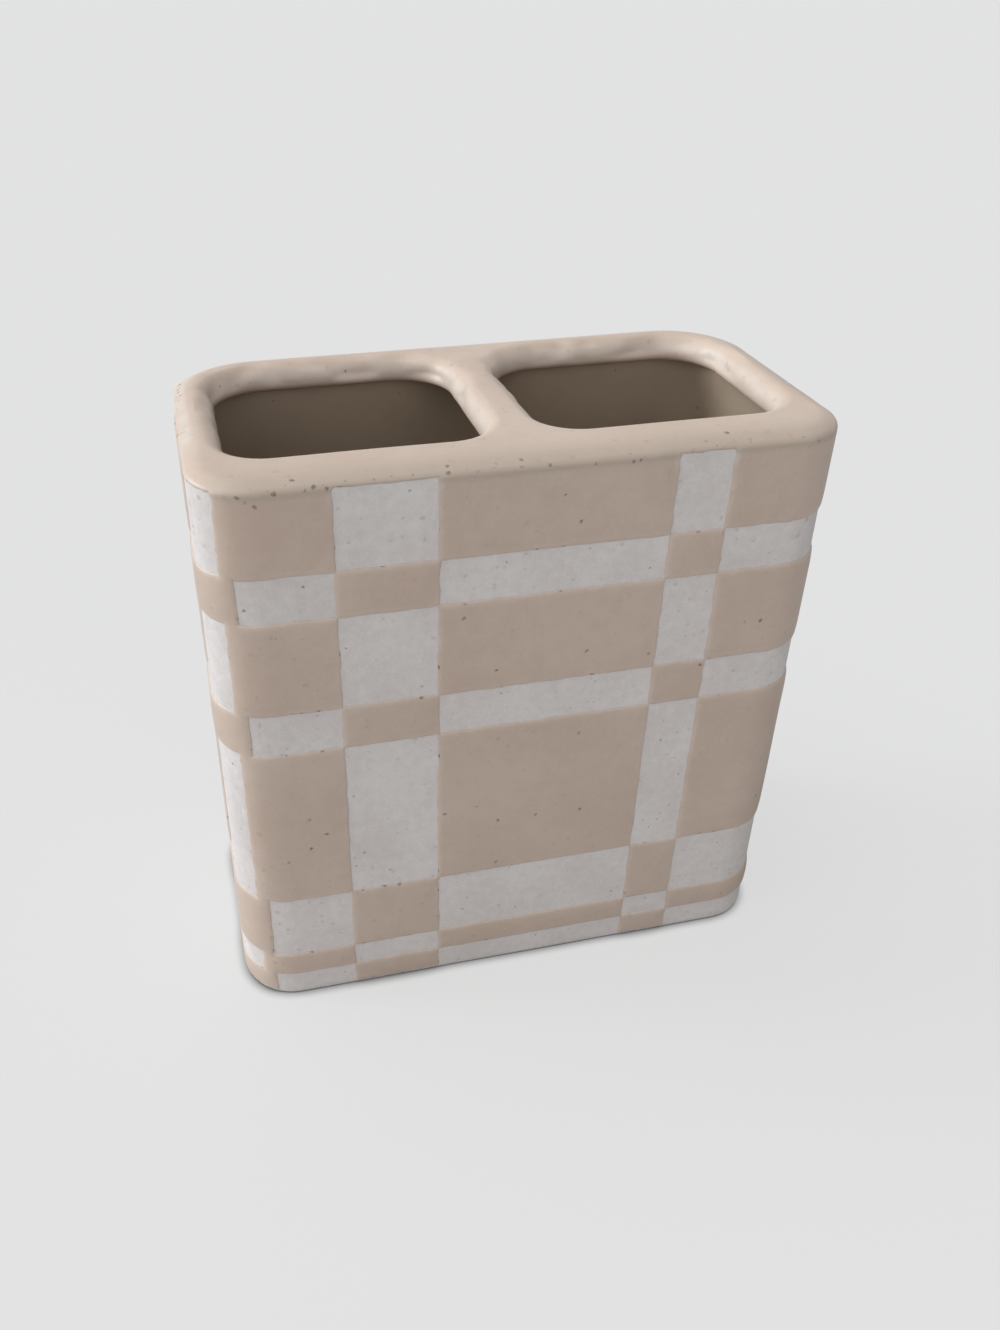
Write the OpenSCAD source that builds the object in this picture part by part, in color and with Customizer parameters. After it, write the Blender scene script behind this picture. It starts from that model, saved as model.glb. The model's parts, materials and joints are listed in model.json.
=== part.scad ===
// Toothbrush holder in speckled stoneware: a tall rounded box, closed by a deck with two mouths
// and a bridge between them. A beige glaze covers it, with checks left open to the pale clay.
// The origin is on the ground under the middle of the body, +X to the right, +Y to the back.

/* [Body] */
// Width over the glaze
body_w = 104; // [96:1:130]
// Depth over the glaze
body_d = 55; // [50:1:70]
// Height over the glaze
body_h = 105.5; // [92:0.5:130]
// Outer radius of the two upright corners at the front
front_corner_r = 10; // [8:0.5:12]
// Outer radius of the two upright corners at the back
back_corner_r = 14; // [10:0.5:15]
// Thickness of the clay wall
wall_t = 4.5; // [3.5:0.1:4.9]
// Thickness of the clay floor
floor_t = 6; // [4:0.5:9]
// Bevel wiped round the foot
foot_bevel = 0.8; // [0.4:0.1:1.4]

/* [Deck] */
// Thickness of the clay deck
deck_t = 3.8; // [3.6:0.1:6]
// Round of the outer top edge
edge_r = 3; // [2.5:0.1:3.6]
// Rim at the outer end of each mouth
end_rim = 6.9; // [6.6:0.1:9]
// Rim in front of the mouths
front_rim = 11.5; // [8:0.1:13]
// Rim behind the mouths
back_rim = 7; // [6.6:0.1:10]
// Bridge between the two mouths
bridge_w = 9.2; // [7:0.2:14]
// Corner radius of each mouth at the front
mouth_front_r = 6.5; // [4:0.5:9]
// Corner radius of each mouth at the back
mouth_back_r = 9; // [5:0.5:12]
// Round of each mouth's upper lip
lip_r = 3; // [2:0.1:3.2]
// Round of each mouth's lower lip
lip_under_r = 1.2; // [0.8:0.1:1.5]

/* [Glaze] */
// Thickness of the fired glaze
coat_t = 0.4; // [0.3:0.05:0.6]
// Inset of each check, which leaves a neck of glaze where two checks meet at a corner
check_inset = 0.12; // [0.08:0.01:0.2]
// How far the glaze of a long face runs round its two corners, in degrees
seam_turn = 42; // [40:1:50]

/* [Stripes] */
// Width of a wide stripe
wide_w = 16; // [10:0.5:19]
// Width of a narrow stripe
narrow_w = 9.3; // [6:0.1:11]
// From the left side of a long face to its wide stripe
wide_from_side = 20.5; // [16:0.5:26]
// From the right side of a long face to its narrow stripe
narrow_from_side = 20.9; // [16:0.1:26]
// From the near side of an end face to its narrow stripe
end_narrow_from_side = 16.5; // [14:0.5:20]
// From the far side of an end face to the wide stripe that runs on to its corner
end_wide_from_side = 18.5; // [15:0.5:21]
// From the top of the body down to the ends of the stripes
stripe_drop = 1.7; // [1.2:0.1:2.2]

/* [Bands] */
// Height of the bare band at the foot
foot_band_h = 5.6; // [3:0.1:8]
// Height at which the low band starts
low_band_z = 10.6; // [9:0.1:14]
// Height of the low band itself
low_band_h = 13.8; // [8:0.2:18]
// From the top of the body down to the middle band
mid_band_drop = 40.2; // [34:0.2:46]
// From the top of the body down to the upper band
top_band_drop = 15.3; // [12:0.1:20]
// Height of the middle and upper bands themselves
band_h = 8; // [5:0.2:11]
// From the left side of a long face to the ends of its bands
band_end = 5.3; // [5.1:0.1:8]

/* [Hidden] */
$fn = 96;

// Length by which a cut runs past the surface that it opens
overrun = 1;

// Heights that the pieces share
deck_z = body_h - coat_t - deck_t;
stripe_top = body_h - stripe_drop;
low_band_top = low_band_z + low_band_h;
mid_band_top = body_h - mid_band_drop;
mid_band_z = mid_band_top - band_h;
top_band_top = body_h - top_band_drop;
top_band_z = top_band_top - band_h;

// Depth of the inside of the wall below the finished surface
wall_inset = coat_t + wall_t;

// Share of each corner that is left for the glaze of an end face
end_turn = 90 - seam_turn;

// Each range is a low and a high value: bands and the gaps between them in height,
// fields and stripes along a face, measured from the middle of that face
bands = [[-overrun, foot_band_h], [low_band_z, low_band_top],
         [mid_band_z, mid_band_top], [top_band_z, top_band_top]];
gaps = [[foot_band_h, low_band_z], [low_band_top, mid_band_z],
        [mid_band_top, top_band_z], [top_band_top, body_h]];

long_end = body_w / 2;
wide_x = wide_from_side - long_end;
narrow_x = long_end - narrow_from_side;
long_stripes = [[wide_x, wide_x + wide_w], [narrow_x - narrow_w, narrow_x]];
long_fields = [[band_end - long_end, wide_x],
               [wide_x + wide_w, narrow_x - narrow_w],
               [narrow_x, long_end]];

short_end = body_d / 2;
end_narrow_x = end_narrow_from_side - short_end;
end_wide_x = short_end - end_wide_from_side;
short_stripes = [[end_narrow_x - narrow_w / 2, end_narrow_x + narrow_w / 2], [end_wide_x, short_end]];
short_fields = [[-short_end, end_narrow_x - narrow_w / 2],
                [end_narrow_x + narrow_w / 2, end_wide_x]];

clay_color = [0.87, 0.85, 0.82];
glaze_color = [0.78, 0.70, 0.63];
liner_color = [0.66, 0.57, 0.48];

// An outline holds left, right, front and back, then the front and the back corner radius
function body_outline(inset) =
    [inset - long_end, long_end - inset, inset - short_end, short_end - inset,
     front_corner_r - inset, back_corner_r - inset];

function mouth_outline(side, inset) =
    let (near = bridge_w / 2 - inset)
    let (far = long_end - end_rim + inset)
    [side < 0 ? -far : near, side < 0 ? -near : far,
     front_rim - short_end - inset, short_end - back_rim + inset,
     mouth_front_r + inset, mouth_back_r + inset];

// Flat plate of an outline
module plate(o) {
    front_r = o[4];
    back_r = o[5];
    translate([o[0] + front_r, o[2]])
        square([o[1] - o[0] - 2 * front_r, o[3] - o[2] - back_r]);
    translate([o[0] + back_r, o[2] + front_r])
        square([o[1] - o[0] - 2 * back_r, o[3] - o[2] - front_r]);
    translate([o[0], o[2] + front_r])
        square([o[1] - o[0], o[3] - o[2] - front_r - back_r]);
    for (x = [o[0] + front_r, o[1] - front_r])
        translate([x, o[2] + front_r]) circle(front_r);
    for (x = [o[0] + back_r, o[1] - back_r])
        translate([x, o[3] - back_r]) circle(back_r);
}

// Carries a profile once round an outline; its x is the distance outside the outline, its y the height
module swept(o) {
    front_r = o[4];
    back_r = o[5];
    side_run = o[3] - o[2] - front_r - back_r;
    translate([o[1], o[3] - back_r, 0])
        rotate([90, 0, 0]) linear_extrude(side_run) children();
    translate([o[0] + back_r, o[3], 0])
        rotate([90, 0, 90]) linear_extrude(o[1] - o[0] - 2 * back_r) children();
    translate([o[0], o[2] + front_r, 0])
        rotate([90, 0, 180]) linear_extrude(side_run) children();
    translate([o[1] - front_r, o[2], 0])
        rotate([90, 0, 270]) linear_extrude(o[1] - o[0] - 2 * front_r) children();
    translate([o[1] - back_r, o[3] - back_r, 0]) corner_sweep(back_r) children();
    translate([o[0] + back_r, o[3] - back_r, 0]) rotate(90) corner_sweep(back_r) children();
    translate([o[0] + front_r, o[2] + front_r, 0]) rotate(180) corner_sweep(front_r) children();
    translate([o[1] - front_r, o[2] + front_r, 0]) rotate(270) corner_sweep(front_r) children();
}

module corner_sweep(r, turn = 90) {
    rotate_extrude(angle = turn) translate([r, 0]) children();
}

// What is cut off above and outside the round of the top edge
module edge_cut(inset) {
    r = edge_r - inset;
    translate([-r, body_h - edge_r])
        difference() {
            square(r + overrun);
            circle(r);
        }
}

// What is cut off above and below the rounds of a mouth's lip, for a deck with its underside at z
module lip_cut(inset, z) {
    r = lip_r - inset;
    under_r = lip_under_r - inset;
    difference() {
        translate([-overrun, body_h - lip_r]) square([r + overrun, lip_r + overrun]);
        translate([r, body_h - lip_r]) circle(r);
    }
    difference() {
        translate([-overrun, z - overrun]) square(under_r + overrun);
        translate([under_r, z + under_r]) circle(under_r);
    }
}

// The deck with its surface drawn in by inset from the finished one and its underside at z
module deck_form(inset, z) {
    top = body_h - inset;
    difference() {
        translate([0, 0, z]) linear_extrude(top - z) plate(body_outline(inset));
        swept(body_outline(inset)) edge_cut(inset);
        for (side = [-1, 1]) {
            translate([0, 0, z - overrun])
                linear_extrude(top - z + 2 * overrun) plate(mouth_outline(side, inset));
            swept(mouth_outline(side, inset)) lip_cut(inset, z);
        }
    }
}

// Section of the wall's outer skin, from the foot to the round of the top edge
module skin_section(inset, z) {
    translate([-edge_r, z]) square([edge_r - inset, body_h - edge_r - z]);
    intersection() {
        translate([-edge_r, body_h - edge_r]) circle(edge_r - inset);
        translate([-edge_r, body_h - edge_r]) square(edge_r);
    }
}

module coat_section() {
    intersection() {
        difference() {
            skin_section(0, foot_bevel);
            skin_section(coat_t, foot_bevel - overrun);
        }
        translate([-edge_r, 0]) square([edge_r + overrun, stripe_top]);
    }
}

// The glaze of one face that looks towards -Y, and its share of the two corners beside it
module coat_run(end, reach, left_r, right_r, turn) {
    translate([end - right_r, -reach, 0])
        rotate([90, 0, 270]) linear_extrude(2 * end - left_r - right_r) coat_section();
    translate([end - right_r, right_r - reach, 0])
        rotate(-90) corner_sweep(right_r, turn) coat_section();
    translate([left_r - end, left_r - reach, 0])
        mirror([1, 0, 0]) rotate(-90) corner_sweep(left_r, turn) coat_section();
}

// One open check of a face whose half length is end; it runs past the face's own ends
module check(x, z, end, reach) {
    x0 = x[0] <= -end ? x[0] - overrun : x[0] + check_inset;
    x1 = x[1] >= end ? x[1] + overrun : x[1] - check_inset;
    z1 = z[1] >= stripe_top ? z[1] + overrun : z[1] - check_inset;
    z0 = z[0] + check_inset;
    translate([x0, -reach - overrun, z0]) cube([x1 - x0, back_corner_r + overrun, z1 - z0]);
}

module open_checks(end, reach, fields, stripes) {
    for (x = fields, z = bands) check(x, z, end, reach);
    for (x = stripes, z = gaps) check(x, z, end, reach);
}

module long_glaze(r) {
    color(glaze_color)
        difference() {
            coat_run(long_end, short_end, r, r, seam_turn);
            open_checks(long_end, short_end, long_fields, long_stripes);
        }
}

module short_glaze(left_r, right_r) {
    color(glaze_color)
        difference() {
            coat_run(short_end, long_end, left_r, right_r, end_turn);
            open_checks(short_end, long_end, short_fields, short_stripes);
        }
}

module base_slab() {
    clay = body_outline(coat_t);
    color(clay_color)
        difference() {
            linear_extrude(floor_t) plate(clay);
            swept(clay)
                polygon([[-foot_bevel - overrun, -overrun], [overrun, foot_bevel + overrun],
                         [overrun, -overrun]]);
        }
}

module wall_shell() {
    color(clay_color)
        translate([0, 0, floor_t])
            linear_extrude(deck_z - floor_t)
                difference() {
                    plate(body_outline(coat_t));
                    plate(body_outline(wall_inset));
                }
}

module top_deck() {
    color(clay_color) deck_form(coat_t, deck_z);
}

module front_glaze() {
    long_glaze(front_corner_r);
}

module right_glaze() {
    rotate(90) short_glaze(front_corner_r, back_corner_r);
}

module back_glaze() {
    rotate(180) long_glaze(back_corner_r);
}

module left_glaze() {
    rotate(270) short_glaze(back_corner_r, front_corner_r);
}

// Over the deck, down both lips and under the deck as far as the wall
module deck_glaze() {
    coat_z = deck_z - coat_t;
    color(glaze_color)
        difference() {
            deck_form(0, coat_z);
            deck_form(coat_t, deck_z);
            translate([0, 0, coat_z - overrun])
                linear_extrude(stripe_top - coat_z + overrun)
                    difference() {
                        square([body_w + 2 * overrun, body_d + 2 * overrun], center = true);
                        plate(body_outline(wall_inset));
                    }
        }
}

// A cup over the floor and up the walls, to the glaze under the deck
module liner_glaze() {
    cup_h = deck_z - coat_t - floor_t;
    color(liner_color)
        translate([0, 0, floor_t])
            difference() {
                linear_extrude(cup_h) plate(body_outline(wall_inset));
                translate([0, 0, coat_t])
                    linear_extrude(cup_h) plate(body_outline(wall_inset + coat_t));
            }
}

base_slab();
wall_shell();
top_deck();
front_glaze();
right_glaze();
back_glaze();
left_glaze();
deck_glaze();
liner_glaze();
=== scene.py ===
# %% [markdown]
# # A checked toothbrush holder in speckled stoneware
#
# The holder is a tall rounded box of pale clay, closed by a deck with two mouths. A beige glaze
# runs over the deck and down the sides. Before the firing, stripes and bands of it were left
# open, so bare clay shows as pale checks that lie a little lower than the glaze around them.
# Every piece is built round a measured frame, so nothing here has to be fitted by eye.

# %% The measured frame
import json
import math

import bmesh
import bpy
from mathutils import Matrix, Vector, noise

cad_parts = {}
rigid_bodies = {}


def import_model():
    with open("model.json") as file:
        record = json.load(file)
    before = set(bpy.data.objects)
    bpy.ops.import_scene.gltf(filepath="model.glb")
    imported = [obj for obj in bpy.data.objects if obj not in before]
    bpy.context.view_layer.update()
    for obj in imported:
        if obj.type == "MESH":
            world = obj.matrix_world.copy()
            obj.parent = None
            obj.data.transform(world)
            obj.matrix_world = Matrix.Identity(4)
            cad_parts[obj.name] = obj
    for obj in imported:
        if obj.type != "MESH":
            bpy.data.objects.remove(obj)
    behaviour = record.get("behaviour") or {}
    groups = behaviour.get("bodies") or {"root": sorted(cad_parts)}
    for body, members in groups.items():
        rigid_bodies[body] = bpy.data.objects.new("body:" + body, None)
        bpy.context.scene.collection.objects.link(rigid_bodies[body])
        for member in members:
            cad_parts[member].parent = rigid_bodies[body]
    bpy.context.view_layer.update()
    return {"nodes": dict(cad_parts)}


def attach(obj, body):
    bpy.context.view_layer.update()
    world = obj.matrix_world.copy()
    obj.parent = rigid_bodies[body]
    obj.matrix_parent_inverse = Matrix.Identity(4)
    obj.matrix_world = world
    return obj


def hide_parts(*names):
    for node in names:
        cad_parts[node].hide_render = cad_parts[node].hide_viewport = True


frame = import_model()
print("frame nodes:", sorted(frame["nodes"]))

# %% [markdown]
# ## Sizes
#
# Potters measure in millimetres, and so do the shapes below. Each piece is scaled to metres when
# it is finished. These values repeat the measured ones.

# %% Sizes in millimetres
MM = 0.001
HALF_WIDTH, HALF_DEPTH, HEIGHT = 52.0, 27.5, 105.5
FRONT_CORNER, BACK_CORNER = 10.0, 14.0
GLAZE = 0.4
WALL_INSIDE = 4.9
FLOOR = 6.0
DECK_UNDERSIDE = 101.3
FOOT_ROUND = 0.8
EDGE_ROUND, CROWN_ROUND, TURNOVER = 1.6, 5.6, 60
LIP_ROUND, LIP_UNDER_ROUND = 3.0, 1.2
MOUTH_NEAR, MOUTH_FAR, MOUTH_FRONT, MOUTH_BACK = 4.6, 45.1, -16.0, 20.5
MOUTH_FRONT_CORNER, MOUTH_BACK_CORNER = 6.5, 9.0
STRIPES_END = 103.8
COVE = 2.5
print("body", 2 * HALF_WIDTH, "x", 2 * HALF_DEPTH, "x", HEIGHT, "mm")

# %% [markdown]
# ## Walking along a line
#
# The outline seen from above and the section of a rim are both straight runs joined by bends. A
# walk describes such a line the way a turtle draws it. It then tells, for any distance along the
# line, where we are and which way the outside of the pot faces. A bend turns left, round clay,
# and with a negative radius it turns right, round air.

# %% A walk of runs and bends
def heading(angle):
    return Vector((math.cos(angle), math.sin(angle)))


class Walk:
    def __init__(self, x, y, facing):
        self.spot, self.facing = Vector((x, y)), math.radians(facing)
        self.legs, self.length = [], 0.0

    def run(self, length):
        self.legs.append((self.length, length, self.spot.copy(), self.facing, 0.0))
        self.spot = self.spot + length * heading(self.facing + math.pi / 2)
        self.length += length
        return self

    def bend(self, radius, degrees=90):
        turn = math.copysign(math.radians(degrees), radius)
        centre = self.spot - radius * heading(self.facing)
        self.legs.append((self.length, radius * turn, centre, self.facing, radius))
        self.facing += turn
        self.spot = centre + radius * heading(self.facing)
        self.length += radius * turn
        return self

    def at(self, distance):
        for start, length, centre, facing, radius in self.legs:
            if distance <= start + length + 1e-6:
                break
        gone = distance - start
        if radius:
            facing += gone / radius
            return centre + radius * heading(facing), facing
        return centre + gone * heading(facing + math.pi / 2), facing


# %% Outlines of the body and of its mouths
def rounded_outline(left, right, front, back, front_r, back_r):
    middle = (left + right) / 2
    side = back - front - front_r - back_r
    walk = Walk(middle, front, -90).run(right - front_r - middle).bend(front_r).run(side)
    walk.bend(back_r).run(right - left - 2 * back_r).bend(back_r).run(side)
    return walk.bend(front_r).run(middle - left - front_r)


BODY = rounded_outline(-HALF_WIDTH, HALF_WIDTH, -HALF_DEPTH, HALF_DEPTH,
                       FRONT_CORNER, BACK_CORNER)
MOUTHS = [rounded_outline(left, right, MOUTH_FRONT, MOUTH_BACK,
                          MOUTH_FRONT_CORNER, MOUTH_BACK_CORNER)
          for left, right in ((-MOUTH_FAR, -MOUTH_NEAR), (MOUTH_NEAR, MOUTH_FAR))]
print("once round the body:", round(BODY.length, 2), "mm")

# %% [markdown]
# ## Sections
#
# A section is walked upwards or over an edge. Its first number is the distance outside the
# outline, its second the height. The side goes up and over the outer edge: first round a tight
# bend, then round a wide one, because a sponge takes off more on top than in front. The lip
# starts on the deck, goes over the edge of a mouth and ends under the deck.

# %% Sections of the side and of a lip
TURN_SINE = math.sin(math.radians(TURNOVER))
SHOULDER = HEIGHT - EDGE_ROUND * TURN_SINE - CROWN_ROUND * (1 - TURN_SINE)
SIDE = Walk(0, 0, 0).run(SHOULDER).bend(EDGE_ROUND, TURNOVER).bend(CROWN_ROUND, 90 - TURNOVER)
LIP_DROP = HEIGHT - LIP_ROUND - (DECK_UNDERSIDE - GLAZE + LIP_UNDER_ROUND)
LIP = Walk(LIP_ROUND, HEIGHT, 90).bend(LIP_ROUND).run(LIP_DROP).bend(LIP_UNDER_ROUND)
print("side", round(SIDE.length, 2), "mm, lip", round(LIP.length, 2), "mm")


def pot_point(outline, section, along, up, depth=0.0):
    """The point that far along the outline and up the section, and the way its outside faces."""
    spot, facing = outline.at(along % outline.length)
    edge, tilt = section.at(up)
    level = heading(facing)
    edge = edge - depth * heading(tilt)
    outside = Vector((*(math.cos(tilt) * level), math.sin(tilt)))
    return Vector((*(spot + edge.x * level), edge.y)), outside


# %% [markdown]
# ## The checks
#
# Stripes run up the faces and bands run round them. Where only one of the two passes, the clay is
# bare; where they cross, the glaze is back. Each bare check is noted as a rectangle on the
# unrolled side: from and to along the outline, then from and to up the section.

# %% Where the stripes and bands lie
# A bare check stops this far short of its lines, so that the glaze holds together where two meet
NECK = 0.12
STRIPE_TOP = SHOULDER + EDGE_ROUND * math.asin((STRIPES_END - SHOULDER) / EDGE_ROUND)
BANDS = [(-1.0, 5.6), (10.6, 24.4), (57.3, 65.3), (82.2, 90.2)]
GAPS = [(below[1], above[0]) for below, above in zip(BANDS, BANDS[1:])]
GAPS.append((BANDS[-1][1], STRIPE_TOP + NECK))
LONG_STRIPES = [(-31.5, -15.5), (21.8, 31.1)]
LONG_FIELDS = [(-46.7, -31.5), (-15.5, 21.8), (31.1, HALF_WIDTH)]
SHORT_STRIPES = [(-15.65, -6.35), (9.0, HALF_DEPTH)]
SHORT_FIELDS = [(-HALF_DEPTH, -15.65), (-6.35, 9.0)]

# Middle of each face along the outline, its half length and the corners left and right of it
RIGHT_MIDDLE = HALF_WIDTH + HALF_DEPTH - (2 - math.pi / 2) * FRONT_CORNER
FACES = {
    "front": (0.0, HALF_WIDTH, FRONT_CORNER, FRONT_CORNER, LONG_FIELDS, LONG_STRIPES),
    "right": (RIGHT_MIDDLE, HALF_DEPTH, FRONT_CORNER, BACK_CORNER, SHORT_FIELDS, SHORT_STRIPES),
    "back": (BODY.length / 2, HALF_WIDTH, BACK_CORNER, BACK_CORNER, LONG_FIELDS, LONG_STRIPES),
    "left": (BODY.length - RIGHT_MIDDLE, HALF_DEPTH, BACK_CORNER, FRONT_CORNER,
             SHORT_FIELDS, SHORT_STRIPES),
}

# The coats of two faces meet 42 degrees round each corner from the long face
SEAM_TURN = math.radians(42)
FRONT_SEAM = HALF_WIDTH - FRONT_CORNER * (1 - SEAM_TURN)
BACK_SEAM = HALF_WIDTH - BACK_CORNER * (1 - SEAM_TURN)
SEAMS = [round(seam, 4) for seam in (
    -FRONT_SEAM, FRONT_SEAM, BODY.length / 2 - BACK_SEAM, BODY.length / 2 + BACK_SEAM,
    BODY.length - FRONT_SEAM)]
COATS = dict(zip(FACES, zip(SEAMS, SEAMS[1:])))
print("coats along the outline:", COATS)


# %% The bare checks of all faces
def along_face(x, half, left_r, right_r):
    """How far along the outline a straight cut at x meets a face, from the face's middle."""
    r = right_r if x > 0 else left_r
    flat = half - r
    if abs(x) <= flat:
        return x
    return math.copysign(flat + r * math.asin((abs(x) - flat) / r), x)


def face_checks(name):
    middle, half, left_r, right_r, fields, stripes = FACES[name]
    first, last = COATS[name]
    for ranges, heights in ((fields, BANDS), (stripes, GAPS)):
        for x0, x1 in ranges:
            a = first if x0 <= -half else middle + along_face(x0, half, left_r, right_r) + NECK
            b = last if x1 >= half else middle + along_face(x1, half, left_r, right_r) - NECK
            for low, high in heights:
                yield a, b, low + NECK, high - NECK


CHECKS = [(a + lap, b + lap, low, high) for name in FACES
          for a, b, low, high in face_checks(name) for lap in (-BODY.length, 0, BODY.length)]
print(len(CHECKS) // 3, "bare checks")


def checks_near(first, last, reach=6.0):
    """The checks near a stretch of the outline, and the bare foot under it."""
    near = [c for c in CHECKS if c[1] > first - reach and c[0] < last + reach]
    return near + [(first - reach, last + reach, -reach, FOOT_ROUND)]


def bare_distance(along, up, checks):
    """Distance on the surface from a point of the glaze to the nearest bare clay."""
    return min(math.hypot(max(a - along, 0, along - b), max(low - up, 0, up - high))
               for a, b, low, high in checks)


# %% [markdown]
# ## Columns and rows
#
# A sheet starts as a flat grid. Its columns and rows are then slid to chosen stops: close together
# where the glaze swells up from an edge, and further apart on the open face. Once it is wrapped
# round the body, such a sheet follows the outline and the section exactly.

# %% Stops for the columns and rows
# Distances of the eased stops from an edge, the least gap, and the share of a part not counted
EASE, CLOSEST, NEARLY = (0.03, 0.12, 0.28, 0.5, 0.8), 0.02, 0.01


def stops(first, last, edges=(), pitch=0.9):
    """Every edge, some eased stops beside it, and no two stops further apart than the pitch."""
    firm = sorted({round(e, 4) for e in (first, last, *edges) if first <= e <= last})
    marks = list(firm)
    for mark in (edge + way * step for step in EASE for edge in firm for way in (-1, 1)):
        if first < mark < last and all(abs(mark - m) > CLOSEST for m in marks):
            marks.append(mark)
    marks.sort()
    filled = []
    for a, b in zip(marks, marks[1:]):
        parts = max(1, math.ceil((b - a) / pitch - NEARLY))
        filled += [a + (b - a) * i / parts for i in range(parts)]
    return filled + [marks[-1]]


ACROSS = stops(SEAMS[0], SEAMS[-1], [*SEAMS, *(e for c in CHECKS for e in c[:2])])
UP = stops(FOOT_ROUND, round(STRIPE_TOP, 4), [SHOULDER, *(e for c in CHECKS for e in c[2:])])
PLAIN_ACROSS = stops(0, BODY.length, pitch=1.2)
print(len(ACROSS), "columns round the body,", len(UP), "rows up the side")

# %% [markdown]
# ## The hand of the maker
#
# No wall that a hand has smoothed is dead flat. A slow noise pushes every surface in by about a
# tenth of a millimetre, the same for clay and glaze, so they stay together. A finer noise moves
# the edges of the checks sideways, because a resist never gives a ruler-straight line. Where two
# coats meet, their borders are held still, unless bare clay lies beside them. The deck has also
# settled a little towards the front, where it is widest. A thumb has run round both lips: it left
# them even in front and lumpy at the back.

# %% Unevenness of surface and edges
WAVE, WAVE_SIZE = 0.14, 17.0

# Lumps on the lips: their depth, breadth and reach on to the deck, how much there is of them, and
# where they start to grow towards the back, over what distance there, and over what height
LUMP, LUMP_SIZE, LUMP_REACH, LUMP_SHARE = 0.75, 4.2, 3.4, 0.35
LUMPS_FROM, LUMPS_OVER, LUMPS_UP = -9.0, 16.0, 1.5
MOUTH_MIDDLE = (MOUTH_NEAR + MOUTH_FAR) / 2, (MOUTH_FRONT + MOUTH_BACK) / 2
MOUTH_FLAT = ((MOUTH_FAR - MOUTH_NEAR) / 2 - MOUTH_BACK_CORNER,
              (MOUTH_BACK - MOUTH_FRONT) / 2 - MOUTH_BACK_CORNER)

# How far the front of the deck has settled, from where on and over what distance
SETTLE, SETTLE_FROM, SETTLE_OVER = 0.7, -18.0, 9.5

# How far an edge of the glaze slips and over what breadth, the finer rag on it, which is stronger
# near a seam, and how near a seam holds it still and bare clay sets it free again
SLIP, SLIP_SIZE, RAG_SIZE = 0.14, 2.8, 1.0
RAG, SEAM_RAG, SEAM_RAG_REACH = 0.6, 0.95, 2.0
SEAM_HOLD, BARE_REACH = 1.5, 0.6

# Without a seed, the sideways noise would start from the clock and differ in each run
noise.seed_set(7)


def unit(value):
    """The value, kept between 0 and 1."""
    return min(max(0, value), 1)


def lip_share(co):
    """1 on the back of the lips of the mouths, and 0 in front, under and out on the deck."""
    aside = max(0, abs(abs(co.x) - MOUTH_MIDDLE[0]) - MOUTH_FLAT[0])
    ahead = max(0, abs(co.y - MOUTH_MIDDLE[1]) - MOUTH_FLAT[1])
    near = unit(1 - (math.hypot(aside, ahead) - MOUTH_BACK_CORNER) / LUMP_REACH)
    back, above = (co.y - LUMPS_FROM) / LUMPS_OVER, (co.z - DECK_UNDERSIDE) / LUMPS_UP
    return near * (2 - near) * unit(back) * unit(above)


def hand_wave(co):
    """How far out the hand has left the surface at a place: below 0, since it only pushes in."""
    wave = WAVE * (0.5 + 0.5 * noise.noise(co / WAVE_SIZE))
    return -wave - LUMP * lip_share(co) * max(0, LUMP_SHARE + noise.noise(co / LUMP_SIZE))


def settled(co):
    """How far the deck has settled at a place: it falls off gently towards the front edge."""
    near_front = max(0, (SETTLE_FROM - co.y) / SETTLE_OVER)
    near_top = unit((co.z - STRIPES_END) / (HEIGHT - STRIPES_END))
    return -SETTLE * near_front ** 2 * near_top


def slipped(along, up, bare, seam):
    """Where a point of the glaze has slipped to, given its distance to bare clay and to a seam."""
    co = pot_point(BODY, SIDE, along, up)[0]
    rag = RAG + SEAM_RAG * max(0, 1 - seam / SEAM_RAG_REACH)
    push = (noise.noise_vector(co / SLIP_SIZE) + rag * noise.noise_vector(co / RAG_SIZE)) * SLIP
    push *= max(unit(seam / SEAM_HOLD), 1 - unit(bare / BARE_REACH))
    return along + push.x + push.y, up + push.z


print("the front edge has settled by", -settled(Vector((0, -HALF_DEPTH, HEIGHT))), "mm")


# %% [markdown]
# ## Sheets
#
# A sheet is a mesh whose points remember two things: which way the outside of the pot is, and how
# far away the nearest bare clay is. The first gives a seamless thickness, because two sheets that
# meet have the same direction on their border. The second tells how thick the glaze lies, and the
# finish uses it too.

# %% A sheet of clay or glaze
SHARP, WELD = math.radians(50), 0.005

# What a point far from bare clay remembers, and the distance that the finish sees as 1
FAR_FROM_BARE, NOTED_REACH = 9.0, 5.0


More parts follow.
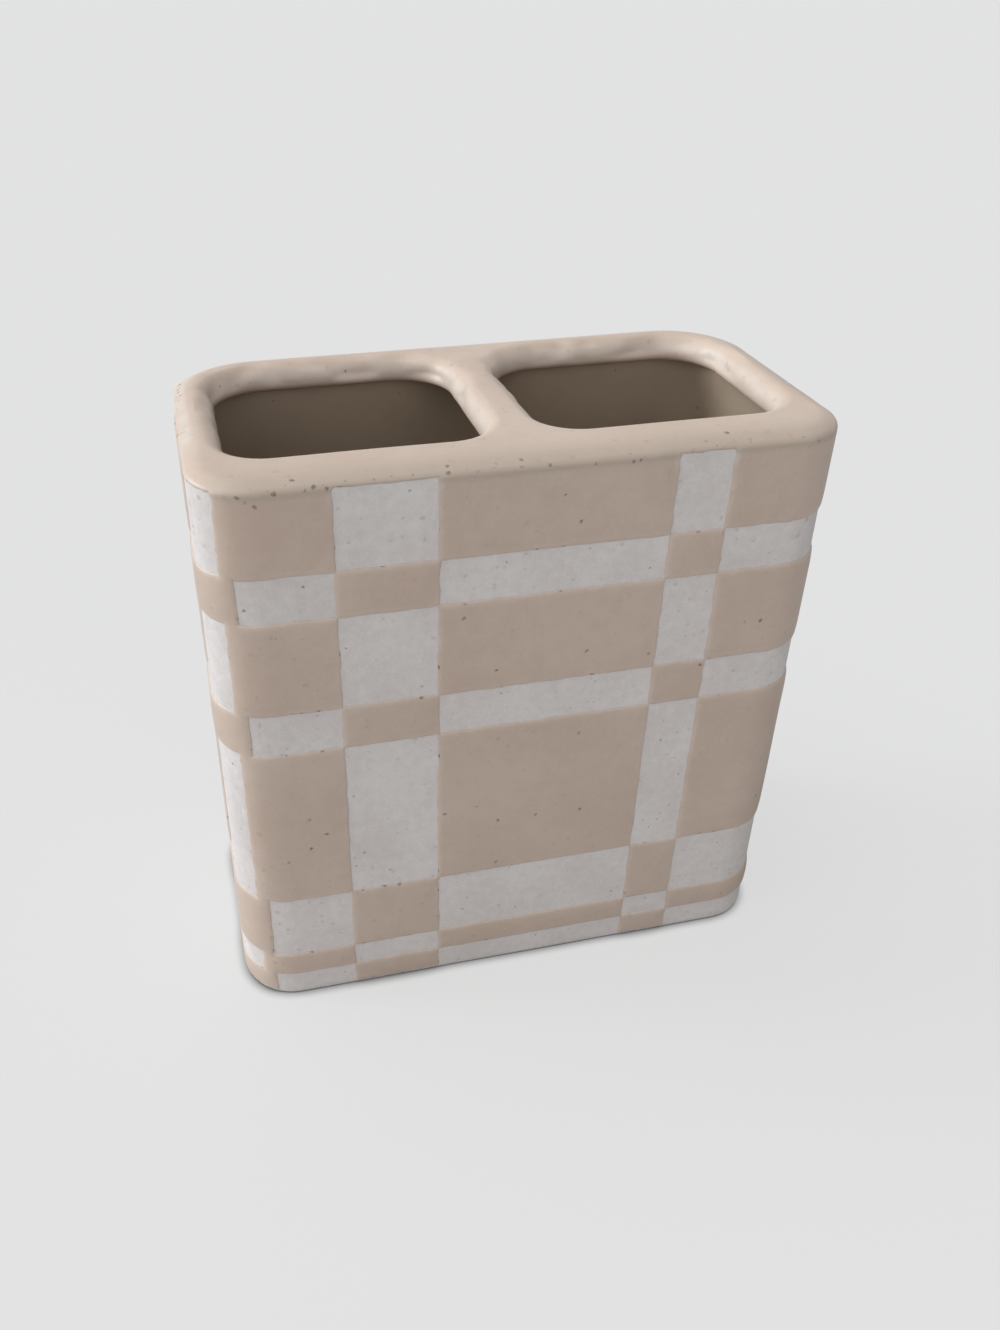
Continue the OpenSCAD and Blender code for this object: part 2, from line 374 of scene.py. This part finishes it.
class Sheet:
    def __init__(self):
        self.bm = bmesh.new()
        self.outside = self.bm.verts.layers.float_vector.new("outside")
        self.from_bare = self.bm.verts.layers.float.new("from_bare")

    def flat(self, across, up):
        """A flat grid with its columns and rows at the given stops, as a net of its points."""
        across_parts, up_parts = len(across) - 1, len(up) - 1
        made = bmesh.ops.create_grid(self.bm, x_segments=across_parts, y_segments=up_parts, size=1)
        net = {}
        for v in made["verts"]:
            column = round((v.co.x + 1) / 2 * across_parts)
            row = round((v.co.y + 1) / 2 * up_parts)
            v.co = across[column], up[row], 0
            v[self.from_bare] = FAR_FROM_BARE
            net[column, row] = v
        return net

    def wrap(self, v, outline, section, along, up, depth):
        v.co, v[self.outside] = pot_point(outline, section, along, up, depth)

    def ring(self, outline, section, across, up, depth=0.0, place=None):
        """A sheet wrapped right round an outline. Returns the edges of its two borders."""
        net = self.flat(across, up)
        for v in net.values():
            spot = place(self, v) if place else v.co.xy
            self.wrap(v, outline, section, *spot, depth)
        seam = [v for (column, row), v in net.items() if column in (0, len(across) - 1)]
        bmesh.ops.remove_doubles(self.bm, verts=seam, dist=WELD)
        borders = [{v for (column, row), v in net.items() if row == end and v.is_valid}
                   for end in (0, len(up) - 1)]
        return [[e for e in self.bm.edges if e.verts[0] in side and e.verts[1] in side]
                for side in borders]

    def fill(self, edges, look):
        """Closes the borders with a level fill that looks up, 1, or down, -1."""
        bmesh.ops.triangle_fill(self.bm, use_beauty=True, edges=edges, normal=(0, 0, look))

    def wave(self):
        for v in self.bm.verts:
            side = v[self.outside]
            settle = settled(v.co)
            v.co += Vector((side.x, side.y, max(side.z, 0))) * hand_wave(v.co)
            v.co.z += settle

    def thicken(self, rise):
        """Gives the sheet its thickness outwards, as rise tells for each distance from bare."""
        faces = self.bm.faces[:]
        bmesh.ops.recalc_face_normals(self.bm, faces=faces)
        wrong = [f for f in faces if f.normal.dot(sum((v[self.outside] for v in f.verts),
                                                      Vector())) < 0]
        bmesh.ops.reverse_faces(self.bm, faces=wrong)
        for v in bmesh.ops.extrude_face_region(self.bm, geom=faces)["geom"]:
            if isinstance(v, bmesh.types.BMVert):
                v.co += v[self.outside].normalized() * rise(v[self.from_bare])

    def finish(self, name, node, slot, material):
        bm = self.bm
        for v in bm.verts:
            v[self.from_bare] = min(v[self.from_bare] / NOTED_REACH, 1)
        bm.verts.layers.float_vector.remove(self.outside)
        bmesh.ops.scale(bm, vec=(MM, MM, MM), verts=bm.verts)
        for face in bm.faces:
            face.smooth = True
        for edge in bm.edges:
            edge.smooth = not (len(edge.link_faces) == 2 and edge.calc_face_angle(0) > SHARP)
        open_edges = sum(len(edge.link_faces) != 2 for edge in bm.edges)
        mesh = bpy.data.meshes.new(name)
        bm.to_mesh(mesh)
        print(name, "has", len(mesh.polygons), "faces,", open_edges, "open edges and",
              round(bm.calc_volume(signed=True) / MM ** 3), "cubic mm")
        bm.free()
        mesh.materials.append(material)
        piece = bpy.data.objects.new(name, mesh)
        bpy.context.collection.objects.link(piece)
        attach(piece, "root")
        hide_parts(node)


# %% [markdown]
# ## Finishes
#
# The shader maths is written as plain sums. A Varying is a number that changes over the surface;
# each sum with it adds one Math node. Any other node comes from one method, which sets the
# node's own settings first and then its sockets.

# %% Sums of varying numbers
class Varying:
    def __init__(self, finish, socket):
        self.finish, self.socket = finish, socket

    def maths(self, operation, *terms):
        values = dict(enumerate(terms))
        return self.finish.node("ShaderNodeMath", {"operation": operation}, values)

    def __add__(self, other):
        return self.maths("ADD", self, other)

    def __sub__(self, other):
        return self.maths("SUBTRACT", self, other)

    def __rsub__(self, other):
        return self.maths("SUBTRACT", other, self)

    def __mul__(self, other):
        return self.maths("MULTIPLY", self, other)

    def __lt__(self, other):
        return self.maths("LESS_THAN", self, other)

    def __abs__(self):
        return self.maths("ABSOLUTE", self)

    def or_more(self, other):
        return self.maths("MAXIMUM", self, other)

    __radd__ = __add__
    __rmul__ = __mul__


# %% One finish and its nodes
# Of a speck's size: the lumps and the sway of its outline, and its soft border in and out
SPECK_LUMPS, SPECK_SWAY, SPECK_SOFT = 1.6, 0.9, (-0.3, 0.12)
SPECK_LEAST = 0.35


class Finish:
    def __init__(self, name):
        self.material = bpy.data.materials.new(name)
        self.material.use_nodes = True
        self.nodes = self.material.node_tree.nodes
        self.links = self.material.node_tree.links
        self.shader = self.nodes["Principled BSDF"]
        self.place = self.node("ShaderNodeTexCoord", {}, {}, "Object")

    def feed(self, socket, value):
        if isinstance(value, Varying):
            self.links.new(value.socket, socket)
        else:
            socket.default_value = value

    def node(self, kind, settings, values, output=0):
        made = self.nodes.new(kind)
        for key, value in settings.items():
            setattr(made, key, value)
        for key, value in values.items():
            self.feed(made.inputs[key], value)
        return Varying(self, made.outputs[output])

    def mix(self, share, first, second):
        values = {0: share, 6: first, 7: second}
        return self.node("ShaderNodeMix", {"data_type": "RGBA"}, values, 2)

    def spot(self):
        """The three coordinates of the place on the piece, in metres."""
        return [self.node("ShaderNodeSeparateXYZ", {}, {0: self.place}, i) for i in range(3)]

    def grain(self, size, detail=2.0, roughness=0.5):
        """Noise whose lumps are about that many millimetres across, from 0 to 1."""
        values = {"Vector": self.place, "Scale": 1 / (size * MM), "Detail": detail,
                  "Roughness": roughness}
        return self.node("ShaderNodeTexNoise", {}, values)

    def ramp(self, value, low, high):
        """0 where the value is low, 1 where it is high, and a smooth way between them."""
        values = {"Value": value, 1: low, 2: high}
        return self.node("ShaderNodeMapRange", {"interpolation_type": "SMOOTHSTEP"}, values)

    def over(self, distance, low, high):
        """The ramp of a distance, with both of its ends in millimetres."""
        return self.ramp(distance, low * MM, high * MM)

    def specks(self, pitch, share, size, tall=1.0):
        """Spots up to that many millimetres across, on a share of the cells of a pitch."""
        place = self.node("ShaderNodeVectorMath", {"operation": "MULTIPLY"},
                          {0: self.place, 1: (1, 1, 1 / tall)})
        lumps = self.node("ShaderNodeTexNoise", {},
                          {"Vector": place, "Scale": SPECK_LUMPS / (size * MM),
                           "Detail": 2.0}, "Color")
        swayed = self.node("ShaderNodeVectorMath", {"operation": "MULTIPLY_ADD"},
                           {0: lumps, 1: (size * SPECK_SWAY * MM,) * 3, 2: place})
        cells = self.node("ShaderNodeTexVoronoi", {}, {"Vector": swayed,
                                                       "Scale": 1 / (pitch * MM)}, "Distance")
        lots = Varying(self, cells.socket.node.outputs["Color"])
        luck, bulk = (self.node("ShaderNodeSeparateColor", {}, {0: lots}, i) for i in (0, 1))
        gap = cells - (SPECK_LEAST + (1 - SPECK_LEAST) * bulk) * (size / 2 / pitch)
        soft = [border * size / pitch for border in SPECK_SOFT]
        return (luck < share) * (1 - self.ramp(gap, *soft))

    def stained(self, colour, faint, iron):
        """The colour with faint specks and dark ones on it."""
        return self.mix(iron * 0.75, self.mix(faint * 0.35, colour, RUST), IRON)

    def relief(self, height, distance):
        """Raises and lowers the look of the surface; a height of 1 is that many millimetres."""
        values = {"Height": height, "Distance": distance * MM, "Strength": 1.0}
        self.feed(self.shader.inputs["Normal"], self.node("ShaderNodeBump", {}, values))

    def done(self, colour, roughness):
        self.feed(self.shader.inputs["Base Color"], colour)
        self.feed(self.shader.inputs["Roughness"], roughness)
        print("finish:", self.material.name, "with", len(self.nodes), "nodes")
        return self.material


# %% [markdown]
# ## Bare clay
#
# The clay is a fine, pale stoneware with crushed iron stone in it. It is matt and slightly
# grainy, and the stone shows as a few dark specks and many faint ones. Noise at three scales gives
# the tone and the grain, and Voronoi cells give the specks: each cell draws lots for having one.
# The same cells, pulled tall and thin, give the pale strokes that a scraper left.

# %% The clay's finish
CLAY_PALE, CLAY_DEEP = (0.80, 0.76, 0.74, 1), (0.70, 0.65, 0.63, 1)
CHALK = (0.86, 0.83, 0.81, 1)
IRON, RUST = (0.13, 0.09, 0.065, 1), (0.40, 0.31, 0.24, 1)


def clay_finish():
    f = Finish("speckled bare clay")
    cloud, mottle, grit = f.grain(14.0, 3.0), f.grain(1.8, 2.0), f.grain(0.5, 3.0, 0.65)
    tone = 0.4 * cloud + 0.3 * mottle + 0.3 * grit
    colour = f.mix(f.ramp(tone, 0.35, 0.65), CLAY_DEEP, CLAY_PALE)
    faint, iron = f.specks(1.6, 0.28, 1.1), f.specks(1.5, 0.05, 0.9)
    colour = f.mix(f.specks(1.8, 0.30, 0.55, 9.0) * 0.6, colour, CHALK)
    colour = f.stained(colour, faint, iron)
    f.relief(grit - faint * 0.5 - iron * 0.3, 0.06)
    return f.done(colour, 0.86 + 0.1 * grit)


CLAY = clay_finish()

# %% [markdown]
# ## Satin glaze
#
# The glaze is a warm beige that lies thinner towards its edges, and over the lips and the rim,
# where it breaks paler; on the lips and the rim this paleness is partly thin glaze and partly a
# painted highlight. Along the front edge of the deck the glaze is painted darker and browner, as
# shade where the top turns down. Iron from the clay has bled through it as specks, most of them
# along the upper edge and beside the checks, where the glaze pulled back. The mesh carries the
# distance from the nearest bare clay as an attribute, so the finish knows where the glaze is thin.

# %% The glaze's finish
GLAZE_PALE, GLAZE_DEEP = (0.65, 0.525, 0.44, 1), (0.60, 0.467, 0.383, 1)
GLAZE_THIN_AND_HIGHLIGHT, GLAZE_SHOULDER_SHADE = (0.75, 0.68, 0.62, 1), (0.45, 0.38, 0.31, 1)

# In millimetres: how far from bare clay the glaze is thin, and where the specks beside it end
THIN_TO, BESIDE = 1.35, (0.1, 0.55)

# How far in from the outline the rim reaches and how soft it ends, then heights and distances
# between which the rim, the deck and the painted shade of the front edge begin or end
RIM_REACH, RIM_SOFT = 3.0, 0.5
RIM_FOOT, RIM_TOP = (102.5, 103.4), (104.6, 105.2)
DECK_FOOT, SHADE_DOWN_TO, SHADE_ACROSS_EDGE = (100.0, 103.5), (102.4, 103.7), (20.0, 26.5)


def glaze_finish():
    f = Finish("satin beige glaze")
    edge = f.node("ShaderNodeAttribute", {"attribute_name": "from_bare"}, {}, "Fac")
    x, y, height = f.spot()
    cloud, bloom, fine = f.grain(22.0, 3.0), f.grain(3.0, 3.0, 0.6), f.grain(0.6, 2.0)
    tone = 0.5 * cloud + 0.3 * bloom + 0.2 * fine
    colour = f.mix(f.ramp(tone, 0.35, 0.65), GLAZE_DEEP, GLAZE_PALE)
    # Paler where the glaze is thin; on the deck, the rim and the lips this is partly a painted
    # highlight
    thin_and_highlight = (1 - f.ramp(edge, 0.0, THIN_TO / NOTED_REACH)) * (0.12 + 0.75 * bloom)
    on_deck = f.over(height, *DECK_FOOT)
    colour = f.mix(thin_and_highlight * (0.4 + 0.6 * on_deck), colour, GLAZE_THIN_AND_HIGHLIGHT)
    # Painted shade: the glaze darkens and browns towards the front edge, where the top turns down
    painted_shoulder_shade = f.over(0 - y, *SHADE_ACROSS_EDGE) * f.over(height, *SHADE_DOWN_TO)
    colour = f.mix(painted_shoulder_shade * (0.25 + 0.6 * bloom), colour, GLAZE_SHOULDER_SHADE)
    past_x, past_y = (abs(way) - (half - RIM_REACH) * MM
                      for way, half in ((x, HALF_WIDTH), (y, HALF_DEPTH)))
    outer = f.over(past_x.or_more(past_y), 0.0, RIM_SOFT)
    rim = outer * f.over(height, *RIM_FOOT) * (1 - f.over(height, *RIM_TOP))
    beside = 1 - f.ramp(edge, *(end / NOTED_REACH for end in BESIDE))
    iron = f.specks(1.4, 0.015 + 0.50 * rim + 0.28 * beside, 0.9)
    faint = f.specks(1.6, 0.24 + 0.40 * rim, 1.1)
    colour = f.stained(colour, faint, iron)
    f.relief(bloom * 0.6 + fine * 0.15 - iron * 0.35, 0.05)
    return f.done(colour, 0.38 + 0.12 * bloom)


SATIN = glaze_finish()

# %% [markdown]
# ## Liner glaze
#
# Inside, the pot was swilled out with the same glaze, a little thicker and browner. It is darker
# towards the floor. The finish is the beige one again, deeper in tone and smoother.

# %% The liner's finish
LINER_PALE, LINER_DEEP = (0.37, 0.29, 0.22, 1), (0.30, 0.23, 0.167, 1)


def liner_finish():
    f = Finish("brown liner glaze")
    cloud, bloom = f.grain(16.0, 3.0), f.grain(2.4, 3.0)
    tone = 0.5 * cloud + 0.2 * bloom + 0.3 * f.over(f.spot()[2], 0.0, 90.0)
    colour = f.mix(f.ramp(tone, 0.3, 0.75), LINER_DEEP, LINER_PALE)
    iron = f.specks(1.1, 0.03, 0.6)
    colour = f.mix(iron * 0.8, colour, IRON)
    f.relief(bloom * 0.7 - iron * 0.3, 0.05)
    return f.done(colour, 0.42 + 0.1 * bloom)


LINER = liner_finish()

# %% [markdown]
# ## The clay floor
#
# The floor is a slab with the outline of the body. Its lower edge was wiped round, so that the pot
# stands without a sharp rim and a thin shadow lies under it. A ring goes round the edge, and two
# fills close it below and above.

# %% Floor of the pot
def clay_foot():
    sheet = Sheet()
    section = Walk(-FOOT_ROUND - GLAZE, 0, -90).bend(FOOT_ROUND).run(FLOOR - FOOT_ROUND)
    low, high = sheet.ring(BODY, section, PLAIN_ACROSS, stops(0, section.length, pitch=0.6))
    sheet.wave()
    sheet.fill(low, -1)
    sheet.fill(high, 1)
    bmesh.ops.recalc_face_normals(sheet.bm, faces=sheet.bm.faces)
    sheet.finish("clay_foot", "base_slab", "clay", CLAY)


clay_foot()

# %% [markdown]
# ## The clay wall
#
# The wall is one ring outside and one inside, with a fill between them along the top and along
# the bottom. It stands on the floor slab and carries the deck.

# %% Wall of the pot
def clay_wall():
    sheet = Sheet()
    outer = sheet.ring(BODY, SIDE, PLAIN_ACROSS, stops(FLOOR, DECK_UNDERSIDE, pitch=3.0), GLAZE)
    sheet.wave()
    inner = sheet.ring(BODY, SIDE, PLAIN_ACROSS, [FLOOR, DECK_UNDERSIDE], WALL_INSIDE)
    for look, rim, inner_rim in zip((-1, 1), outer, inner):
        sheet.fill(rim + inner_rim, look)
    bmesh.ops.recalc_face_normals(sheet.bm, faces=sheet.bm.faces)
    sheet.finish("clay_wall", "wall_shell", "clay", CLAY)


clay_wall()

# %% [markdown]
# ## The clay deck
#
# Three rings make the skin of the deck: the round of the outer edge and the lips of both mouths.
# A fill closes the flat between them, holes and all, and a second one closes the underside. The
# glaze will use the same skin, so the lips already note how thin it breaks over their round.

# %% Deck of the pot
LIP_STOPS = stops(0, LIP.length, pitch=0.35)
THINNEST, THICKER = 0.36, 2.1


def breaks_over(turn):
    """How far from bare clay a round looks, at a place between its ends, 0 and 1."""
    return THINNEST + THICKER * (1 - math.sin(math.pi * turn))


def over_the_lip(sheet, v):
    v[sheet.from_bare] = breaks_over(v.co.y / LIP.length)
    return v.co.xy


def deck_skin(sheet, outer_borders):
    """Lips and flat top, given both borders of the outer edge. Returns the two open borders."""
    lips = [sheet.ring(mouth, LIP, stops(0, mouth.length, pitch=0.9), LIP_STOPS, GLAZE,
                       over_the_lip) for mouth in MOUTHS]
    sheet.fill(outer_borders[1] + [e for lip in lips for e in lip[0]], 1)
    return outer_borders[0], [e for lip in lips for e in lip[1]]


def clay_deck():
    sheet = Sheet()
    up = stops(DECK_UNDERSIDE, SIDE.length, [SHOULDER], pitch=0.3)
    low, under = deck_skin(sheet, sheet.ring(BODY, SIDE, PLAIN_ACROSS, up, GLAZE))
    sheet.wave()
    sheet.fill(low + under, -1)
    bmesh.ops.recalc_face_normals(sheet.bm, faces=sheet.bm.faces)
    sheet.finish("clay_deck", "top_deck", "clay", CLAY)


clay_deck()

# %% [markdown]
# ## The glaze of the four sides
#
# Each coat is cut out flat, like a resist: a sheet over the whole face, with the bare checks taken
# out. It is then wrapped round the body and given its thickness. The glaze draws back from an edge
# in a small swell, so the thickness grows from almost nothing over the first millimetre.

# %% How thick the glaze lies
SWELL, CROWN = 0.8, 3.5
EDGE_SHARE, SWELL_SHARE, CROWN_SHARE = 0.12, 0.50, 0.38


def glaze_rise(distance):
    swell = math.sqrt(1 - (1 - min(distance / SWELL, 1)) ** 2)
    crown = min(distance / CROWN, 1)
    return GLAZE * (EDGE_SHARE + SWELL_SHARE * swell + CROWN_SHARE * crown * (2 - crown))


print("glaze at 0, 0.3, 1 and 4 mm:", [round(glaze_rise(d), 3) for d in (0, 0.3, 1, 4)])


# %% The four coats
def side_coat(name):
    first, last = COATS[name]
    checks = checks_near(first, last)
    sheet = Sheet()
    sheet.flat([s for s in ACROSS if first <= s <= last], UP)
    bare = [f for f in sheet.bm.faces if not bare_distance(*f.calc_center_median().xy, checks)]
    bmesh.ops.delete(sheet.bm, geom=bare, context="FACES")
    for v in sheet.bm.verts:
        along, up = v.co.xy
        v[sheet.from_bare] = bare_distance(along, up, checks)
        seam = min(along - first, last - along, STRIPE_TOP - up)
        along, up = slipped(along, up, v[sheet.from_bare], max(seam, 0))
        sheet.wrap(v, BODY, SIDE, along, max(up, FOOT_ROUND), GLAZE)
    sheet.wave()
    sheet.thicken(glaze_rise)
    sheet.finish(name + "_coat", name + "_glaze", "glaze", SATIN)


for name in FACES:
    side_coat(name)

# %% [markdown]
# ## The glaze of the deck
#
# This coat goes over the outer edge, across the deck, down both lips and a little way under the
# deck, to the wall. Its lower border meets the coats of the sides, column for column, and lies
# free over the tops of the stripes. Straight cuts split the long triangles of the flat, so that it
# can be a little uneven too.

# %% The deck's coat
TOP_CHECKS = [c for c in CHECKS if c[3] > STRIPE_TOP - 1]

# Towards the front the glaze lies thicker, from here on and by so much for each millimetre
FRONT_FROM, FRONT_THICKER = -8, 0.25

# Over what distance the slip of the border dies away, how wide the coat's ledge under the deck is,
# and how exactly a face has to be level and a cut has to be met
CALM_OVER, LEDGE = 2.5, 0.5
LEVEL_WITHIN, CUT_WITHIN = 1e-3, 0.02


def over_the_edge(sheet, v):
    """Where a point of the deck's outer ring has slipped to."""
    along, up = v.co.xy
    bare = bare_distance(along, up, TOP_CHECKS)
    front = max(0, FRONT_FROM - pot_point(BODY, SIDE, along, up)[0].y)
    turn = (up - SHOULDER) / (SIDE.length - SHOULDER)
    v[sheet.from_bare] = min(bare, breaks_over(turn) + FRONT_THICKER * front)
    fade = max(0, 1 - (up - STRIPE_TOP) / CALM_OVER)
    slid, risen = slipped(along, up, bare, max(up - STRIPE_TOP, 0))
    return along + (slid - along) * fade, up + (risen - up) * fade


def cut_flat(sheet, level, pitch=3.0):
    """Cuts a level fill into a net, so that it has points all over."""
    for axis, reach in ((0, HALF_WIDTH), (1, HALF_DEPTH)):
        normal = Vector((axis == 0, axis == 1, 0))
        for i in range(1, int(2 * reach / pitch)):
            flat = [f for f in sheet.bm.faces
                    if all(abs(v.co.z - level) < LEVEL_WITHIN for v in f.verts)]
            parts = [part for f in flat for part in (*f.edges, *f.verts)]
            once_each = list(dict.fromkeys(flat + parts))
            bmesh.ops.bisect_plane(sheet.bm, geom=once_each, dist=CUT_WITHIN,
                                   plane_co=normal * (pitch * i - reach), plane_no=normal)


def deck_coat():
    sheet = Sheet()
    up = stops(STRIPE_TOP, SIDE.length, pitch=0.3)
    ring = sheet.ring(BODY, SIDE, ACROSS, up, GLAZE, over_the_edge)
    under = deck_skin(sheet, ring)[1]
    cut_flat(sheet, HEIGHT - GLAZE)
    ledge = Walk(-WALL_INSIDE - LEDGE, DECK_UNDERSIDE, -90).run(LEDGE)
    wall_side = sheet.ring(BODY, ledge, PLAIN_ACROSS, [0, LEDGE])[0]
    sheet.fill(under + wall_side, -1)
    sheet.wave()
    sheet.thicken(glaze_rise)
    sheet.finish("deck_coat", "deck_glaze", "glaze", SATIN)


deck_coat()

# %% [markdown]
# ## The liner
#
# The liner covers the inside from the deck down to the floor. Wall and floor meet in a small cove,
# where the finger of the maker pressed a coil of clay into the corner.

# %% The liner's coat
def liner_coat():
    sheet = Sheet()
    top, bottom = DECK_UNDERSIDE - GLAZE, FLOOR + GLAZE
    section = Walk(-WALL_INSIDE - GLAZE, top, 180).run(top - bottom - COVE).bend(-COVE)
    rows = stops(0, section.length, [section.length - COVE * math.pi / 2], pitch=1.5)
    floor_rim = sheet.ring(BODY, section, PLAIN_ACROSS, rows, GLAZE)[1]
    sheet.fill(floor_rim, 1)
    sheet.wave()
    sheet.thicken(glaze_rise)
    sheet.finish("liner_coat", "liner_glaze", "liner", LINER)


liner_coat()

# %% [markdown]
# ## The table
#
# The pot stands on a plain pale table. What the camera sees of it is mostly an even grey, with a
# little lit grey in it that keeps the pot's soft shadow, and a painted dark shadow line where the
# foot is very near. All other rays meet plain diffuse grey, which throws light back on to the
# sides.

# %% Table
BACKDROP = 0.76
EVEN, LIT, PAINTED_SHADOW, PLAIN = 0.818 * BACKDROP, 0.15, 0.06, (0.50, 0.495, 0.50, 1)
FOOT_SHADOW = 3.0
TABLE_REACH = 12


def grey(level):
    return level, level, level, 1


def table_finish():
    f = Finish("pale table")
    path = f.node("ShaderNodeLightPath", {}, {}, "Is Camera Ray")
    even = f.node("ShaderNodeEmission", {}, {"Color": grey(EVEN)})
    lit = f.node("ShaderNodeBsdfDiffuse", {}, {"Color": grey(LIT)})
    seen = f.node("ShaderNodeAddShader", {}, {0: even, 1: lit})
    # Painted shadow: a dark emission, mixed in by ambient occlusion where the foot is near the
    # table
    open_air = f.node("ShaderNodeAmbientOcclusion", {"samples": 16},
                      {"Distance": FOOT_SHADOW * MM}, "AO")
    painted_shadow = f.node("ShaderNodeEmission", {}, {"Color": grey(PAINTED_SHADOW)})
    shadow_share_at_foot = 1 - f.ramp(open_air, 0.15, 0.9)
    seen = f.node("ShaderNodeMixShader", {}, {0: shadow_share_at_foot, 1: seen, 2: painted_shadow})
    plain = f.node("ShaderNodeBsdfDiffuse", {}, {"Color": PLAIN})
    both = f.node("ShaderNodeMixShader", {}, {0: path, 1: plain, 2: seen})
    f.feed(f.nodes["Material Output"].inputs["Surface"], both)
    return f.material


table = bpy.data.meshes.new("table")
bm = bmesh.new()
bmesh.ops.create_grid(bm, x_segments=8, y_segments=8, size=TABLE_REACH)
bm.to_mesh(table)
bm.free()
table.materials.append(table_finish())
table = bpy.data.objects.new("table", table)
bpy.context.collection.objects.link(table)
print("table:", 2 * TABLE_REACH, "m wide")

# %% [markdown]
# ## Light
#
# The photograph has soft window light from the left: the left side and the lips that look that
# way are the brightest, and the front lies in even half light. One lamp stands for the window, a
# broader one above for the ceiling, and the broadest for the room on the left of the camera, so
# that the corner on the right falls off a little. An even sky fills the rest. It is grey to the
# camera and to reflections, so the satin glaze mirrors no white.

# %% Lamps and sky
SKY = 0.23


def lamp(name, energy, width, colour, towards):
    """A far lamp that looks that many degrees wide, in the direction given."""
    light = bpy.data.lights.new(name, "SUN")
    light.energy, light.angle, light.color = energy, math.radians(width), colour
    lit = bpy.data.objects.new(name, light)
    lit.rotation_euler = Vector(towards).to_track_quat("Z", "Y").to_euler()
    bpy.context.collection.objects.link(lit)
    print(name, "lamp:", energy, "strong and", width, "degrees wide")


lamp("window", 1.7, 22, (0.95, 1.0, 1.04), (-0.86, 0.32, 0.31))
lamp("ceiling", 1.22, 60, (0.96, 1.0, 0.99), (-0.35, 0.25, 0.90))
lamp("room", 1.2, 110, (1.0, 0.995, 0.995), (-0.45, -0.75, 0.4))

world = bpy.data.worlds.new("sky")
world.use_nodes = True
bpy.context.scene.world = world
nodes, links = world.node_tree.nodes, world.node_tree.links
path = nodes.new("ShaderNodeLightPath")
seen = nodes.new("ShaderNodeMath")
seen.operation, seen.use_clamp = "ADD", True
links.new(path.outputs["Is Camera Ray"], seen.inputs[0])
links.new(path.outputs["Is Glossy Ray"], seen.inputs[1])
tone = nodes.new("ShaderNodeMix")
tone.inputs["A"].default_value, tone.inputs["B"].default_value = SKY, BACKDROP
links.new(seen.outputs[0], tone.inputs["Factor"])
links.new(tone.outputs["Result"], nodes["Background"].inputs["Color"])
bpy.context.scene.view_settings.view_transform = "Standard"

# %% [markdown]
# ## Camera
#
# The camera stands where the photographer's stood. Place, tilt and lens were worked out from the
# edges of the pot in the photograph. The small shift moves the frame sideways, as a crop does.

# %% Camera
# In pixels of the photograph: its height, the focal length and the sideways shift
PHOTO_HEIGHT, FOCAL_LENGTH, SHIFT = 1330, 1140.1, 68
SENSOR = 36.0
LOOKS_DOWN, LOOKS_RIGHT = 33.82, 13.135
lens = bpy.data.cameras.new("camera")
lens.sensor_width, lens.lens = SENSOR, FOCAL_LENGTH * SENSOR / PHOTO_HEIGHT
lens.shift_x = SHIFT / PHOTO_HEIGHT
lens.clip_start = 0.01
camera = bpy.data.objects.new("camera", lens)
camera.location = (-0.05114, -0.1748, 0.17294)
camera.rotation_euler = (math.radians(90 - LOOKS_DOWN), 0, math.radians(-LOOKS_RIGHT))
bpy.context.collection.objects.link(camera)
bpy.context.scene.camera = camera
print("lens:", round(lens.lens, 2), "mm")
